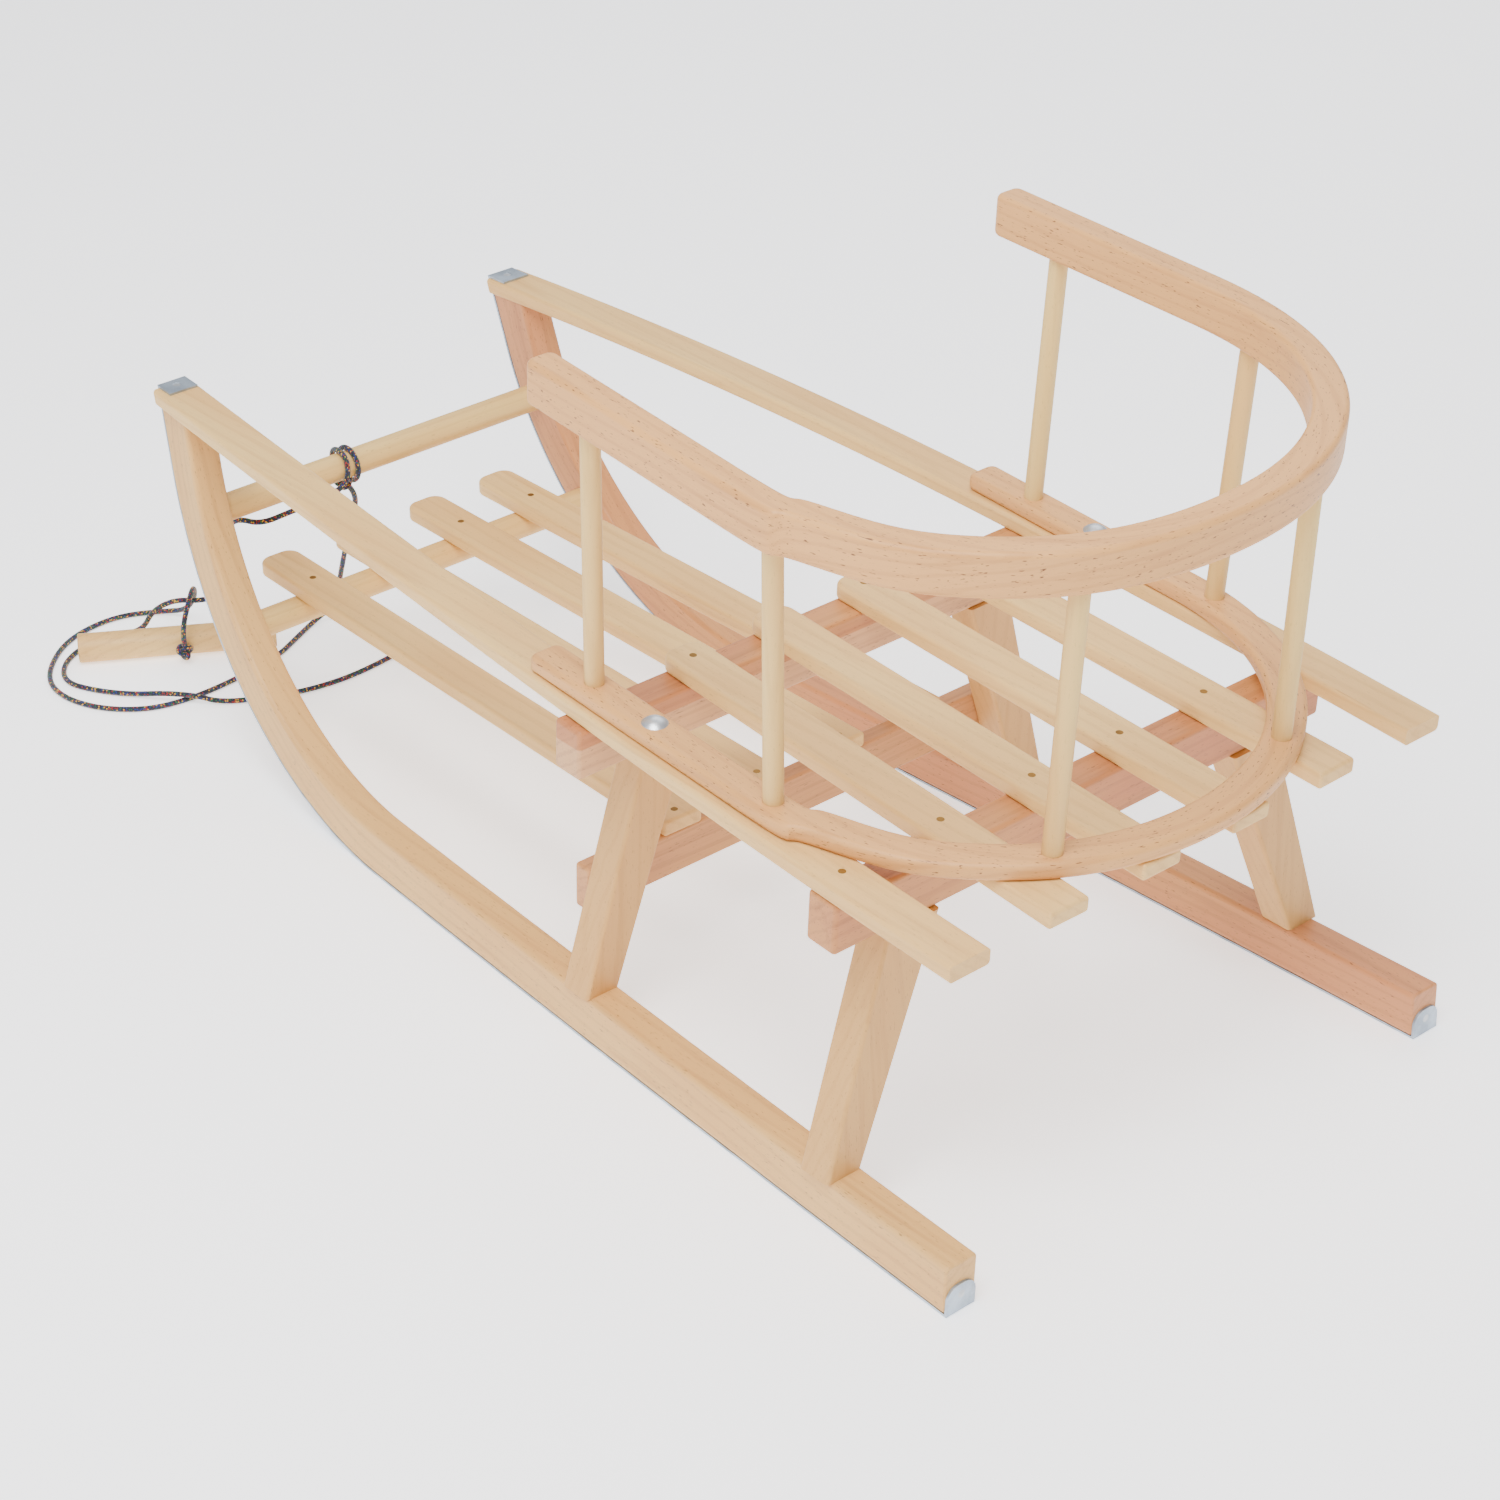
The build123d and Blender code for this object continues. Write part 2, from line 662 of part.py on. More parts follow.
# two screws in each foot of the legs, driven from under the runner's wood, hidden by the sole
leg_screws = []
for foot, head in ((front_leg_foot, front_leg_head), (rear_leg_foot, rear_leg_head)):
    mid = (foot[1] + foot[2]) / 2
    base = Vector(mid, foot[0], sole_thickness + 0.4)
    spot = Pos(*base) * Rot(180, 0, 0)
    long_screw = screw(leg_screw_length, leg_screw_radius, leg_screw_head_radius, 3.0)
    long_hole = screw_hole(leg_screw_length, leg_screw_radius, leg_screw_head_radius, 3.0, screw_gap)
    leg_screws += [spot * long_screw, mirrored(spot * long_screw)]
    right_runner = right_runner - spot * long_hole
    if foot is front_leg_foot:
        right_front_leg = right_front_leg - spot * long_hole
    else:
        right_rear_leg = right_rear_leg - spot * long_hole

# ---- pull stick --------------------------------------------------------------------------------------------------
stick_place = Pos(stick_middle[0], stick_middle[1], stick_radius) * Rot(0, 0, stick_turn)
stick = Rot(0, 90, 0) * Cylinder(stick_radius, stick_length)
stick = fillet(stick.edges().filter_by(GeomType.CIRCLE), stick_end_edge)
stick = stick - Pos(stick_hole_shift, 0, 0) * Rot(90, 0, 0) * Cylinder(stick_hole_radius, 4 * stick_radius)
stick = stick_place * stick


# ---- tow rope ----------------------------------------------------------------------------------------------------
def turn_between(a, b, c):
    """Angle by which a route turns at b."""
    u = (Vector(*b) - Vector(*a)).normalized()
    v = (Vector(*c) - Vector(*b)).normalized()
    return math.acos(max(-1.0, min(1.0, u.dot(v))))


def rope_radii(route):
    """Arc at each corner: 0.45 of the shorter run over the tangent of half the turn."""
    found = []
    for a, b, c in zip(route, route[1:], route[2:]):
        shorter = min((Vector(*b) - Vector(*a)).length, (Vector(*c) - Vector(*b)).length)
        found.append(0.45 * shorter / math.tan(turn_between(a, b, c) / 2))
    return found


def rope(name, route):
    """Plain round rope along straight runs joined by arcs."""
    radii = rope_radii(route)
    path = FilletPolyline(*route, radius=radii)
    start = Plane(origin=path @ 0, z_dir=path % 0)
    tube = sweep(start * Circle(rope_radius), path=path)
    runs = [(Vector(*b) - Vector(*a)).length for a, b in zip(route, route[1:])]
    turns = [math.degrees(turn_between(*p)) for p in zip(route, route[1:], route[2:])]
    print(name, "length", round(path.length, 1), "volume over section x length",
          round(tube.volume / (math.pi * rope_radius ** 2 * path.length), 4))
    print("  radii", [round(r, 1) for r in radii])
    print("  runs", [round(r, 1) for r in runs], "largest turn", round(max(turns), 1))
    return tube


floor = rope_radius + 0.05
wrap = bar_radius + rope_radius + rope_gap
y0, z0 = tow_bar_station, tow_bar_height

tail_route = [
    (8, 806, floor), (-30, 799, floor), (-75, 802, floor), (-112, 816, floor), (-138, 832, floor),
]
hump = floor + 2 * rope_radius + 1.3
inner_loop_route = [
    (-150, 843, hump), (-166, 862, hump), (-180, 884, floor), (-197, 906, floor), (-208, 932, floor),
    (-194, 957, floor), (-166, 971, floor), (-138, 966, floor),
]
bow_route = [(-127, 950, 10), (-125, 938, 30), (-115, 921, 43), (-100.7, 905, 43)]
rising_route = [
    (-84, 895, 49), (-85, 885, 72), (-103, 860, 106), (-117.6, 835, 137), (-118.3, 818, 152), (-107, 805, 148.5),
    (-85, 800, 152.7),
]
hitch_route = [
    (hitch_x - 8, y0 - wrap, z0 - wrap), (hitch_x - 6, y0 - wrap, z0 + wrap),
    (hitch_x - 4, y0 + wrap, z0 + wrap), (hitch_x - 2, y0 + wrap, z0 - wrap),
]
hanging_route = [
    (-22, 817, 147), (-13, 822, 132), (-10, 831, 114), (-9, 842, 92), (-7, 854, 65), (-4, 867, 37),
    (-2, 879, 14), (-12, 889, floor),
]
outer_loop_route = [
    (-43, 873, floor), (-66, 861, floor), (-111, 852, floor), (-151, 850, floor), (-183, 857, floor),
    (-209, 881, floor), (-221, 914, floor), (-215, 946, floor), (-186, 977, floor), (-157, 991, floor),
    (-122, 993, floor), (-93, 977, floor),
]


def beside_hole(out, height):
    """Point straight out from the stick's hole, on its near side."""
    turn = math.radians(stick_turn)
    return (
        stick_middle[0] + stick_hole_shift * math.cos(turn) + out * math.sin(turn),
        stick_middle[1] + stick_hole_shift * math.sin(turn) - out * math.cos(turn),
        height,
    )


stick_route = [
    (-84, 957, 8), (-88, 936, 30), (-101, 915, 52), (-113, 903, 50), beside_hole(19, 32), beside_hole(18, stick_radius),
    beside_hole(4, stick_radius),
]
# both legs of the rope start on the straight run behind and under the tow bar
meeting = tuple(a + (b - a) * 0.5 for a, b in zip(rising_route[-1], hitch_route[0]))
long_leg_route = [meeting] + hitch_route + hanging_route + outer_loop_route + stick_route
short_leg_route = [meeting] + (tail_route + inner_loop_route + bow_route + rising_route)[::-1]
long_leg = rope("rope_long_leg", long_leg_route)
short_leg = rope("rope_short_leg", short_leg_route)


def knot_ring(middle, way, major, minor):
    """One turn of rope drawn tight around something."""
    frame = Plane(origin=middle, z_dir=Vector(*way))
    return frame * Torus(major, minor)


hitch_turn = knot_ring((hitch_x + 2.2, y0, z0), (1, 0, 0), wrap, rope_radius)
strand_top = Vector(*hitch_route[-1])
strand_low = Vector(*hanging_route[0])
strand_way = (strand_low - strand_top).normalized()
knot_turns = []
for share in (0.45, 0.78):
    spot = strand_top + (strand_low - strand_top) * share
    knot_turns.append(knot_ring(tuple(spot), tuple(strand_way), rope_radius + 0.45 + 1.8, 1.8))
hole_way = tuple(Vector(*beside_hole(1, 0)) - Vector(*beside_hole(0, 0)))
stick_knot = knot_ring(beside_hole(stick_radius + rope_radius + rope_gap, stick_radius), hole_way, 5.6, rope_radius)

# ---- files -------------------------------------------------------------------------------------------------------
for side, make in (("left", mirrored), ("right", lambda shape: shape)):
    write(f"runner_{side}", make(right_runner))
    write(f"sole_{side}", make(sole))
    write(f"side_rail_{side}", make(right_rail))
    write(f"front_leg_{side}", make(right_front_leg))
    write(f"rear_leg_{side}", make(right_rear_leg))
for i, slat in enumerate(slats):
    write(f"seat_slat_{i + 1}", slat)
for i, slat in enumerate(foot_slats):
    write(f"foot_slat_{i + 1}", slat)
write("front_crossbar", front_crossbar)
write("rear_crossbar", rear_crossbar)
write("foot_crossbar", foot_crossbar)
write("foot_bar", bars["foot_bar"])
write("tow_bar", bars["tow_bar"])
write("lower_hoop", seat(0, 0, 0) * lower_hoop)
write("upper_hoop", seat(0, 0, 0) * upper_hoop)
for i, spindle in enumerate(spindles):
    write(f"spindle_{i + 1}", seat(0, 0, 0) * spindle)
write("carriage_bolts", bolts)
write("bolt_washers", washers)
write("bolt_nuts", nuts)
write("slat_screws", slat_screws + rail_screws)
write("foot_slat_screws", foot_screws)
write("sole_screws", sole_screws)
write("leg_screws", leg_screws)
write("pull_stick", stick)
write("rope_long_leg", long_leg)
write("rope_short_leg", short_leg)
write("hitch_knot", [hitch_turn] + knot_turns)
write("stick_knot", stick_knot)
for name, volume in written:
    print(f"{name:20s} {volume:12.1f} mm3")
print("nodes", len(written))
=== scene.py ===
# %% [markdown]
# # Wooden toboggan: its looks
# The CAD model of the toboggan is loaded as a fixed frame. This script adds what the CAD model doesn't
# have: woods with grain that follows each bent piece, worn steel, a braided rope with knots, a floor,
# light and a camera.

import math
import bpy
import numpy as np
from mathutils import Matrix, Vector


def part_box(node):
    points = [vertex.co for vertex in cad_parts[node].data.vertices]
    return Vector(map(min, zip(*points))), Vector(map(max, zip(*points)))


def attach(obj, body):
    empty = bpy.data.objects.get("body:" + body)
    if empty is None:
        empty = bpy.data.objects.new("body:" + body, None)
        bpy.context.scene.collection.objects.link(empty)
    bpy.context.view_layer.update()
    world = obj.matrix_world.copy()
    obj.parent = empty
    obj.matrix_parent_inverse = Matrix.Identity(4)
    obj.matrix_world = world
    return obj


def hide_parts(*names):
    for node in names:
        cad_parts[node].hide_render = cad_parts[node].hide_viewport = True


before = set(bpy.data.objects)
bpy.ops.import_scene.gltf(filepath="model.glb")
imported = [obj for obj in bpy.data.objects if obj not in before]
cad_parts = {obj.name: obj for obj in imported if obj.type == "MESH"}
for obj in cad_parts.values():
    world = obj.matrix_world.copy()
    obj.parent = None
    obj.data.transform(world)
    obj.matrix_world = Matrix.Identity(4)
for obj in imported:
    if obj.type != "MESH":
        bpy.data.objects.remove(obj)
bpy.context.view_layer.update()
millimetre = 0.001

# %% [markdown]
# ## Camera
# The camera looks down on the toboggan from its rear left corner with a long lens, so the sides stay
# almost parallel. Its place is measured from the middle of the sled on the floor. The angles are the
# usual two of a turntable, and a small roll keeps the horizon level.

# %% Camera
sled_front, sled_rear = 846.3, -16.6
half_sled = (sled_front + sled_rear) / 2
camera_station = (-1306.7, -1104.1, 1298.8)
camera_azimuth, camera_elevation, camera_roll = -41.018, 31.006, -0.150
camera_lens = 84.36


def placed(x, station, height):
    """A point given by its station along the sled, in metres and measured from the sled's middle."""
    return Vector((x, station - half_sled, height)) * millimetre


camera_data = bpy.data.cameras.new("camera")
camera_data.sensor_width = 36.0
camera_data.lens = camera_lens
camera_data.clip_start, camera_data.clip_end = 0.05, 90.0
camera = bpy.data.objects.new("camera", camera_data)
bpy.context.scene.collection.objects.link(camera)
camera.matrix_world = (
    Matrix.Translation(placed(*camera_station))
    @ Matrix.Rotation(math.radians(camera_azimuth), 4, "Z")
    @ Matrix.Rotation(math.radians(90 - camera_elevation), 4, "X")
    @ Matrix.Rotation(math.radians(camera_roll), 4, "Z")
)
bpy.context.scene.camera = camera
print("camera at", tuple(round(c, 3) for c in camera.location))

# %% [markdown]
# ## The way the rope lies
# The rope is one length with two legs. Both start behind and under the tow bar. The long leg winds once
# around the bar, hangs down, lies on the floor in a wide loop and ends in a knot in the pull stick. The
# short leg rises from the floor near the stick to the bar, and its tail lies across under the foot
# rest. A quadratic B-spline through listed control points gives each leg its smooth line.

# %% Rope routes
rope_radius = 2.0
bar_radius = 10.0
tow_bar_station, tow_bar_height = 802.5, 172.5
floor_height = rope_radius + 0.05
hump = floor_height + 2 * rope_radius + 1.3
wrap = bar_radius + rope_radius + 0.25
hitch_x = -33.0
stick_middle = (-118.0, 917.0)
stick_radius, stick_turn, stick_hole_shift = 11.0, -31.5, 5.0
y0, z0, f = tow_bar_station, tow_bar_height, floor_height

tail_route = [(8, 806, f), (-30, 799, f), (-75, 802, f), (-112, 816, f), (-138, 832, f)]
inner_loop_route = [
    (-150, 843, hump), (-166, 862, hump), (-180, 884, f), (-197, 906, f), (-208, 932, f),
    (-194, 957, f), (-166, 971, f), (-138, 966, f),
]
bow_route = [(-127, 950, 10), (-125, 938, 30), (-115, 921, 43), (-100.7, 905, 43)]
rising_route = [
    (-84, 895, 49), (-85, 885, 72), (-103, 860, 106), (-117.6, 835, 137), (-118.3, 818, 152),
    (-107, 805, 148.5), (-85, 800, 152.7),
]
hitch_route = [
    (hitch_x - 8, y0 - wrap, z0 - wrap), (hitch_x - 6, y0 - wrap, z0 + wrap),
    (hitch_x - 4, y0 + wrap, z0 + wrap), (hitch_x - 2, y0 + wrap, z0 - wrap),
]
hanging_route = [
    (-22, 817, 147), (-13, 822, 132), (-10, 831, 114), (-9, 842, 92), (-7, 854, 65), (-4, 867, 37),
    (-2, 879, 14), (-12, 889, f),
]
outer_loop_route = [
    (-43, 873, f), (-66, 861, f), (-111, 852, f), (-151, 850, f), (-183, 857, f), (-209, 881, f),
    (-221, 914, f), (-215, 946, f), (-186, 977, f), (-157, 991, f), (-122, 993, f), (-93, 977, f),
]


def beside_hole(out, height):
    """Point straight out from the stick's hole, on its near side."""
    turn = math.radians(stick_turn)
    return (
        stick_middle[0] + stick_hole_shift * math.cos(turn) + out * math.sin(turn),
        stick_middle[1] + stick_hole_shift * math.sin(turn) - out * math.cos(turn),
        height,
    )


stick_route = [
    (-84, 957, 8), (-88, 936, 30), (-101, 915, 52), (-113, 903, 50),
    beside_hole(19, 32), beside_hole(18, stick_radius), beside_hole(4, stick_radius),
]
meeting = tuple((a + b) / 2 for a, b in zip(rising_route[-1], hitch_route[0]))
long_leg_route = [meeting] + hitch_route + hanging_route + outer_loop_route + stick_route
short_leg_route = [meeting] + (tail_route + inner_loop_route + bow_route + rising_route)[::-1]


def centreline(name, route):
    """Points along a quadratic B-spline, evenly spaced, as an array in metres.

    A NURBS curve of order 3 is tangent to each run of its control polygon at that run's middle.
    """
    curve = bpy.data.curves.new(name, "CURVE")
    curve.dimensions = "3D"
    spline = curve.splines.new("NURBS")
    spline.points.add(len(route) - 1)
    for point, spot in zip(spline.points, route):
        point.co = (*placed(*spot), 1.0)
    spline.order_u = 3
    spline.use_endpoint_u = True
    spline.resolution_u = 24
    holder = bpy.data.objects.new(name, curve)
    line = bpy.data.meshes.new_from_object(holder)
    points = np.array([v.co[:] for v in line.vertices])
    bpy.data.objects.remove(holder)
    bpy.data.curves.remove(curve)
    bpy.data.meshes.remove(line)
    return evenly(points)


def evenly(points, step=0.55 * millimetre):
    """The same line resampled so that its points are one step apart."""
    runs = np.linalg.norm(np.diff(points, axis=0), axis=1)
    keep = np.concatenate([[True], runs > 1e-7])
    points = points[keep]
    along = np.concatenate([[0.0], np.cumsum(np.linalg.norm(np.diff(points, axis=0), axis=1))])
    count = max(8, int(round(along[-1] / step)))
    wanted = np.linspace(0.0, along[-1], count + 1)
    return np.stack([np.interp(wanted, along, points[:, axis]) for axis in range(3)], axis=1)


def length_of(points):
    """Length of a line of points."""
    return float(np.linalg.norm(np.diff(points, axis=0), axis=1).sum())


long_leg = centreline("long_leg_line", long_leg_route)
short_leg = centreline("short_leg_line", short_leg_route)
print("long leg", round(length_of(long_leg), 3), "m, short leg", round(length_of(short_leg), 3), "m")

# %% [markdown]
# ## Braided tubes
# A braid is a tube with two families of strands that run around it in opposite directions and pass over
# and under each other. The tube's radius carries the relief of the strands, and its UV map carries the
# turn around the rope and the length along it, so the material can colour single strands.

# %% Braid surface
braid_strands = 8
braid_pitch = 11.0 * millimetre
braid_relief = 0.07


def frames_along(points, closed=False):
    """Tangent and two cross directions at each point, carried along without twisting."""
    if closed:
        tangents = np.roll(points, -1, axis=0) - np.roll(points, 1, axis=0)
    else:
        tangents = np.gradient(points, axis=0)
    tangents /= np.linalg.norm(tangents, axis=1)[:, None]
    start = np.cross(tangents[0], (0.31, 0.17, 0.93))
    side = start / np.linalg.norm(start)
    sides = np.empty_like(points)
    for i, tangent in enumerate(tangents):
        side = side - tangent * side.dot(tangent)
        side = side / np.linalg.norm(side)
        sides[i] = side
    return tangents, sides, np.cross(tangents, sides)


def braid_profile(turn, along):
    """Relief from 0 to 1 where strands of both hands cross: a product of two rows of ridges."""
    phase = along / braid_pitch
    right = np.abs(np.sin(np.pi * (braid_strands * turn + braid_strands * phase)))
    left = np.abs(np.sin(np.pi * (braid_strands * turn - braid_strands * phase)))
    return np.maximum(right, left) ** 0.6


def tube_arrays(points, radius, closed=False, around=20):
    """Vertices, faces and UVs of a braided tube. Open ends are closed by a small dome of one point."""
    count = len(points)
    _, sides, ups = frames_along(points, closed)
    along = np.concatenate([[0.0], np.cumsum(np.linalg.norm(np.diff(points, axis=0), axis=1))])
    turn = np.arange(around) / around
    turns, alongs = np.meshgrid(turn, along)
    radii = radius * (1.0 - braid_relief + braid_relief * braid_profile(turns, alongs))
    angle = 2 * np.pi * turns
    ring = (np.cos(angle) * radii)[..., None] * sides[:, None, :]
    ring = ring + (np.sin(angle) * radii)[..., None] * ups[:, None, :]
    verts = (points[:, None, :] + ring).reshape(-1, 3)
    faces, uvs = [], []
    last = count if closed else count - 1
    for i in range(last):
        j = (i + 1) % count
        v0, v1 = along[i], along[i] + (along[1] - along[0])
        for k in range(around):
            m = (k + 1) % around
            faces.append((i * around + k, i * around + m, j * around + m, j * around + k))
            u0, u1 = k / around, (k + 1) / around
            uvs.append(((u0, v0), (u1, v0), (u1, v1), (u0, v1)))
    if not closed:
        tips = np.array([points[0], points[-1]])
        verts = np.concatenate([verts, tips])
        for k in range(around):
            m = (k + 1) % around
            u0, u1 = k / around, (k + 1) / around
            faces.append((count * around, m, k))
            uvs.append(((u0, 0.0), (u1, 0.0), (u0, 0.0)))
            base = (count - 1) * around
            faces.append((count * around + 1, base + k, base + m))
            uvs.append(((u0, along[-1]), (u0, along[-1]), (u1, along[-1])))
    return verts, faces, uvs


def build_mesh(name, parts):
    """One mesh object from several (vertices, faces, uvs) sets."""
    verts, faces, uvs, shift = [], [], [], 0
    for some_verts, some_faces, some_uvs in parts:
        verts.extend(some_verts.tolist())
        faces.extend([tuple(v + shift for v in face) for face in some_faces])
        uvs.extend([uv for face in some_uvs for uv in face])
        shift += len(some_verts)
    mesh = bpy.data.meshes.new(name)
    mesh.from_pydata(verts, [], faces)
    layer = mesh.uv_layers.new(name="rope")
    layer.data.foreach_set("uv", np.array(uvs, dtype=np.float32).ravel())
    mesh.polygons.foreach_set("use_smooth", np.ones(len(faces), dtype=bool))
    mesh.update()
    made = bpy.data.objects.new(name, mesh)
    bpy.context.scene.collection.objects.link(made)
    print(name, "faces", len(faces))
    return made


knot_depth = 1.6


def ring_line(middle, way, radius, turns=1.0, rise=0.0, steps=160):
    """Circle, or a helix that rises, around an axis through middle."""
    way = Vector(way).normalized()
    side = way.orthogonal().normalized()
    up = way.cross(side)
    count = int(steps * turns)
    angles = np.linspace(0, 2 * np.pi * turns, count, endpoint=rise != 0.0)
    spots = [
        middle + side * math.cos(a) * radius + up * math.sin(a) * radius
        + way * rise * (a / (2 * math.pi * turns) - 0.5)
        for a in angles
    ]
    return np.array([spot[:] for spot in spots])


def knot_line(middle, size, tilt, steps=240):
    """An overhand knot drawn tight, as a trefoil: (sin t + 2 sin 2t, cos t - 2 cos 2t, -depth sin 3t)."""
    t = np.linspace(0, 2 * np.pi, steps, endpoint=False)
    line = np.stack(
        [np.sin(t) + 2 * np.sin(2 * t), np.cos(t) - 2 * np.cos(2 * t), -knot_depth * np.sin(3 * t)], axis=1)
    turned = np.array([(tilt @ Vector(p))[:] for p in line])
    return np.array(middle[:]) + turned * size


rope_long = build_mesh("rope_long", [tube_arrays(long_leg, rope_radius * millimetre)])
rope_short = build_mesh("rope_short", [tube_arrays(short_leg, rope_radius * millimetre)])

# %% [markdown]
# ## Knots
# The rope is hitched around the tow bar with one more turn and a knot below it. A tight overhand knot
# keeps the rope in the pull stick's hole.

# %% Knots
knot_radius = 1.75 * millimetre
strand_top = Vector(hitch_route[-1])
strand_low = Vector(hanging_route[0])
strand_way = (strand_low - strand_top).normalized()
knot_spot = strand_top.lerp(strand_low, 0.62)
turn_shift, coil_radius, coil_turns, coil_length = 2.2, 4.1 * millimetre, 2.4, 8.5 * millimetre
turn_line = ring_line(placed(hitch_x + turn_shift, y0, z0), (1, 0, 0), wrap * millimetre)
coil_line = ring_line(placed(*knot_spot), strand_way, coil_radius, coil_turns, coil_length)
hitch = build_mesh("hitch_turns", [
    tube_arrays(turn_line, rope_radius * millimetre, True), tube_arrays(coil_line, knot_radius)])
stick_knot_spot = placed(*beside_hole(stick_radius + 5.4, stick_radius - 1.0))
knot_tilt = Matrix.Rotation(math.radians(stick_turn), 3, "Z") @ Matrix.Rotation(math.radians(78), 3, "X")
stick_knot_line = knot_line(stick_knot_spot, knot_radius, knot_tilt)
stick_knot = build_mesh("stick_knot_turns", [tube_arrays(stick_knot_line, knot_radius, True)])

for piece, node in ((rope_long, "rope_long_leg"), (rope_short, "rope_short_leg"), (hitch, "hitch_knot"),
                    (stick_knot, "stick_knot")):
    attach(piece, "root")
    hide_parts(node)

exit_point = placed(*meeting)

# %% [markdown]
# ## Shader maths
# Materials are written as plain expressions. `Wire` wraps one output socket, and adding or multiplying
# wires adds the matching node. `Recipe` makes a material and its nodes.

# %% Wires and recipes


class Wire:
    """One number that varies over the surface, with the usual operators."""

    def __init__(self, recipe, socket):
        self.recipe, self.socket = recipe, socket

    def __add__(self, other): return self.recipe.math("ADD", self, other)
    def __radd__(self, other): return self.recipe.math("ADD", other, self)
    def __sub__(self, other): return self.recipe.math("SUBTRACT", self, other)
    def __rsub__(self, other): return self.recipe.math("SUBTRACT", other, self)
    def __mul__(self, other): return self.recipe.math("MULTIPLY", self, other)
    def __rmul__(self, other): return self.recipe.math("MULTIPLY", other, self)
    def __truediv__(self, other): return self.recipe.math("DIVIDE", self, other)
    def __rtruediv__(self, other): return self.recipe.math("DIVIDE", other, self)
    def __pow__(self, other): return self.recipe.math("POWER", self, other)
    def __gt__(self, other): return self.recipe.math("GREATER_THAN", self, other)
    def __lt__(self, other): return self.recipe.math("LESS_THAN", self, other)
    def __neg__(self): return self.recipe.math("MULTIPLY", self, -1.0)


class Recipe:
    """A material under construction, and the nodes it is made of."""

    def __init__(self, name):
        self.material = bpy.data.materials.new(name)
        self.material.use_nodes = True
        self.tree = self.material.node_tree
        self.shader = self.tree.nodes["Principled BSDF"]

    def node(self, kind, settings=None, inputs=None, output=0):
        """Adds a node, sets its properties, joins its inputs and returns one of its outputs."""
        made = self.tree.nodes.new(kind)
        for key, value in (settings or {}).items():
            setattr(made, key, value)
        for key, value in (inputs or {}).items():
            self.join(made.inputs[key], value)
        return Wire(self, made.outputs[output])

    def join(self, socket, value):
        if isinstance(value, Wire):
            self.tree.links.new(value.socket, socket)
        else:
            socket.default_value = value

    def math(self, operation, *values):
        return self.node("ShaderNodeMath", {"operation": operation}, dict(enumerate(values)))

    def vector(self, x, y, z):
        return self.node("ShaderNodeCombineXYZ", None, {"X": x, "Y": y, "Z": z})

    def place(self):
        """The object's own coordinates as three numbers, in metres."""
        spot = self.node("ShaderNodeTexCoord", None, None, "Object")
        return [self.node("ShaderNodeSeparateXYZ", None, {0: spot}, axis) for axis in "XYZ"]

    def noise(self, where, scale, detail=2.0, roughness=0.5, distortion=0.0):
        """Soft noise from 0 to 1."""
        return self.node("ShaderNodeTexNoise", None, {
            "Vector": where, "Scale": scale, "Detail": detail, "Roughness": roughness,
            "Distortion": distortion,
        }, 0)

    def step(self, value, low, high):
        """0 below low, 1 above high and smooth between them."""
        return self.node("ShaderNodeMapRange", {"interpolation_type": "SMOOTHSTEP"}, {
            "Value": value, "From Min": low, "From Max": high, "To Min": 0.0, "To Max": 1.0,
        }, 0)

    def blend(self, share, first, second):
        """Colour from first to second."""
        made = self.tree.nodes.new("ShaderNodeMix")
        made.data_type = "RGBA"
        for key, value in ((0, share), (6, first), (7, second)):
            self.join(made.inputs[key], value)
        return Wire(self, made.outputs[2])

    def finish(self, colour, roughness, height=None, depth=0.0002, **constants):
        """Joins the shader's inputs. Height gives the bump, and depth its size in metres."""
        self.join(self.shader.inputs["Base Color"], colour)
        self.join(self.shader.inputs["Roughness"], roughness)
        if height is not None:
            bump = self.node("ShaderNodeBump", None, {"Height": height, "Distance": depth, "Strength": 0.6})
            self.join(self.shader.inputs["Normal"], bump)
        for key, value in constants.items():
            self.join(self.shader.inputs[key.replace("_", " ")], value)
        return self.material


def tint(red, green, blue):
    """Screen colour from 0 to 255 as the linear colour that shaders use."""
    def linear(c):
        c = c / 255
        return c / 12.92 if c <= 0.04045 else ((c + 0.055) / 1.055) ** 2.4
    return (linear(red), linear(green), linear(blue), 1.0)


print("recipes ready")

# %% [markdown]
# ## Grain that follows the wood
# Each kind of piece has its own coordinates along its length, across it and through it. Bent pieces
# unroll their bend: a runner is straight up to the point where its curve starts and then follows an
# arc, and a hoop follows an arc between its two straight arms.

# %% Directions of the grain
curve_start, curve_radius = 570.0, 270.0
curve_start_y = (curve_start - half_sled) * millimetre
curve_centre_z = curve_radius * millimetre
hoop_arc_station = 165.0
hoop_arc_radius = 180.0 * millimetre


def lengthways(recipe):
    """Boards and rails that lie along the sled."""
    x, y, z = recipe.place()
    return y, x, z


def crossways(recipe):
    """Bars that lie across the sled."""
    x, y, z = recipe.place()
    return x, y, z


def upright(recipe):
    """Legs and spindles."""
    x, y, z = recipe.place()
    return z, x, y


def round_the_bow(recipe):
    """Runners: the distance along a straight run and then along an arc that bends upward."""
    x, y, z = recipe.place()
    ahead = recipe.math("MAXIMUM", y - curve_start_y, 0.0)
    below = curve_centre_z - z
    reach = recipe.math("SQRT", ahead * ahead + below * below)
    angle = recipe.math("ARCTAN2", ahead, below)
    behind = recipe.math("MINIMUM", y - curve_start_y, 0.0)
    return behind + angle * curve_radius * millimetre, x, reach


